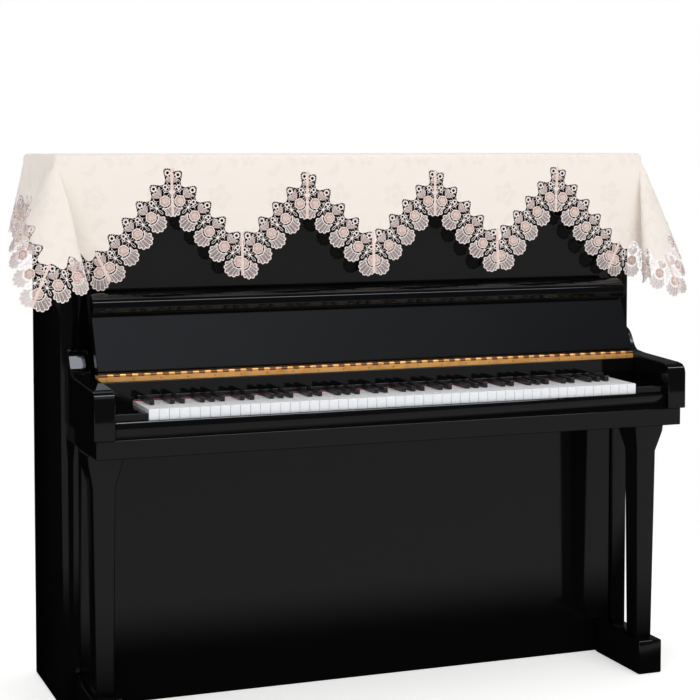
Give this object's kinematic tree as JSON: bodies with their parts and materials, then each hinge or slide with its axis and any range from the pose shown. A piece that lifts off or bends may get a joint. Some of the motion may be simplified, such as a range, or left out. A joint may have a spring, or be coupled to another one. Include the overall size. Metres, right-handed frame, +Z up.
{
  "type": "lace-edged top cover on a plain upright piano",
  "caption": "Cream cloth cover with a zigzag lace edge, draped over the lid of a plain upright piano, with soft folds at the corners.",
  "frame": {"origin": "on the floor, under the middle of the piano's case, on the case's flat underside", "axes": "+X to the right along the keyboard, +Y from the keys to the back of the case, +Z up"},
  "size_m": [1.7708, 0.7922, 1.3092],
  "materials": {
    "cream_jacquard": "matt woven cotton blend",
    "pink_guipure_lace": "matt embroidered thread",
    "black_lacquer": "polished black lacquer",
    "white_key_plastic": "glossy",
    "hinge_brass": "satin lacquered"
  },
  "bodies": {
    "root": {"cover_cloth": "cream_jacquard", "lace_side_left": "pink_guipure_lace", "lace_corner_left": "pink_guipure_lace", "lace_zigzag_1": "pink_guipure_lace", "lace_zigzag_2": "pink_guipure_lace", "lace_zigzag_3": "pink_guipure_lace", "lace_zigzag_4": "pink_guipure_lace", "lace_zigzag_5": "pink_guipure_lace", "lace_zigzag_6": "pink_guipure_lace", "lace_zigzag_7": "pink_guipure_lace", "lace_zigzag_8": "pink_guipure_lace", "lace_corner_right": "pink_guipure_lace", "lace_side_right": "pink_guipure_lace", "case_side_left": "black_lacquer", "case_side_right": "black_lacquer", "case_body": "black_lacquer", "lid": "black_lacquer", "key_bed": "black_lacquer", "key_slip": "black_lacquer", "arm_left": "black_lacquer", "arm_right": "black_lacquer", "cheek_left": "black_lacquer", "cheek_right": "black_lacquer", "white_keys": "white_key_plastic", "black_keys": "black_lacquer", "fallboard": "black_lacquer", "fallboard_rail": "hinge_brass", "fallboard_stop": "black_lacquer", "leg_left": "black_lacquer", "leg_right": "black_lacquer", "toe_left": "black_lacquer", "toe_right": "black_lacquer"}
  },
  "joints": []
}
